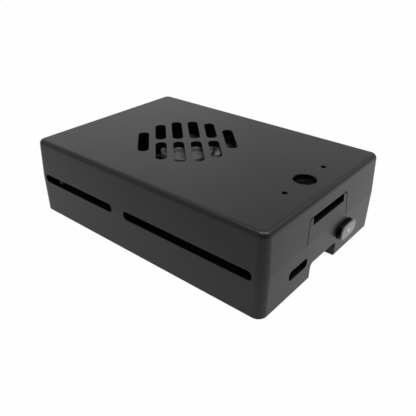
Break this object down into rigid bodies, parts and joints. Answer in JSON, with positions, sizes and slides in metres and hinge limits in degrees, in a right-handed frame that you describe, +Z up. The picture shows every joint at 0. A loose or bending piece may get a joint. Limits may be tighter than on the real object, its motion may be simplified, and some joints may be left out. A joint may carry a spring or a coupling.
{
  "type": "single board computer case",
  "caption": "Closed two-part moulded case for a small single board computer, with its board, fan, camera, ports and power button inside.",
  "frame": {"origin": "middle of the case's footprint on the flat underside", "axes": "+Z up, +X along the length towards the end with the power button, -Y towards the long side with the two vents"},
  "size_m": [0.0946, 0.064, 0.0263],
  "materials": {
    "upper_plastic": "fine satin moulding",
    "lower_plastic": "fine satin moulding",
    "button_plastic": "satin",
    "window_plastic": "translucent gloss",
    "plunger_plastic": "satin",
    "led_plastic": "clear gloss",
    "board_laminate": "solder mask",
    "camera_laminate": "solder mask",
    "processor_metal": "satin",
    "pad_rubber": "soft matte",
    "heatsink_metal": "black anodised",
    "chip_plastic": "matte",
    "can_metal": "satin",
    "connector_plastic": "matte",
    "pin_metal": "gold flash",
    "port_metal": "bright",
    "inlet_metal": "dark",
    "insert_plastic": "matte",
    "jack_plastic": "matte",
    "switch_steel": "satin",
    "ribbon_plastic": "matte",
    "latch_plastic": "matte",
    "frame_plastic": "satin",
    "rotor_plastic": "satin",
    "label_film": "satin film",
    "screw_steel": "dark plated",
    "bearing_metal": "sintered",
    "magnet_rubber": "matte",
    "stator_steel": "laminated",
    "winding_wire": "enamelled copper",
    "holder_plastic": "satin",
    "lens_glass": "coated",
    "coil_ferrite": "matte"
  },
  "bodies": {
    "case": {"lower_shell": "lower_plastic", "upper_shell": "upper_plastic", "case_screws": "screw_steel", "power_switch": "switch_steel", "status_led": "led_plastic", "main_board": "board_laminate", "processor": "processor_metal", "thermal_pad": "pad_rubber", "heatsink": "heatsink_metal", "memory_chip": "chip_plastic", "wireless_can": "can_metal", "data_chip": "chip_plastic", "network_chip": "chip_plastic", "power_chip": "chip_plastic", "header_base": "connector_plastic", "header_pins": "pin_metal", "network_jack_shell": "port_metal", "network_jack_insert": "insert_plastic", "sound_jack": "jack_plastic", "power_inlet_shell": "inlet_metal", "power_inlet_tongue": "insert_plastic", "card_socket_body": "connector_plastic", "card_socket_cover": "port_metal", "ribbon_connector": "ribbon_plastic", "ribbon_latch": "latch_plastic", "fan_header": "ribbon_plastic", "fan_header_pins": "pin_metal", "fan_frame": "frame_plastic", "fan_bearing": "bearing_metal", "motor_board": "board_laminate", "stator_core": "stator_steel", "stator_windings": "winding_wire", "fan_screws": "screw_steel", "camera_board": "camera_laminate", "camera_holder": "holder_plastic", "camera_lens": "lens_glass", "camera_screws": "screw_steel", "power_coil_1": "coil_ferrite", "power_coil_2": "coil_ferrite", "power_coil_3": "coil_ferrite", "data_port_1_shell": "port_metal", "data_port_1_insert": "insert_plastic", "video_port_1_shell": "port_metal", "video_port_1_tongue": "insert_plastic", "data_port_2_shell": "port_metal", "data_port_2_insert": "insert_plastic", "video_port_2_shell": "port_metal", "video_port_2_tongue": "insert_plastic"},
    "rotor": {"fan_rotor": "rotor_plastic", "rotor_label": "label_film", "fan_shaft": "screw_steel", "rotor_magnet": "magnet_rubber"},
    "button": {"power_button": "button_plastic", "button_window": "window_plastic"},
    "plunger": {"switch_plunger": "plunger_plastic"}
  },
  "joints": [
    {"name": "fan_spin", "type": "hinge", "parent": "case", "child": "rotor", "pos_m": [-0.00695, 0, 0.018], "axis": [0, 0, 1], "continuous": true},
    {"name": "button_press", "type": "slide", "parent": "case", "child": "button", "axis": [-1, 0, 0], "range_m": [0, 0.0005], "stiffness_N_per_m": 600},
    {"name": "plunger_press", "type": "slide", "parent": "case", "child": "plunger", "axis": [-1, 0, 0], "range_m": [0, 0.0005]}
  ],
  "couplings": [
    {"joint": "plunger_press", "follows": "button_press", "ratio": 1}
  ]
}
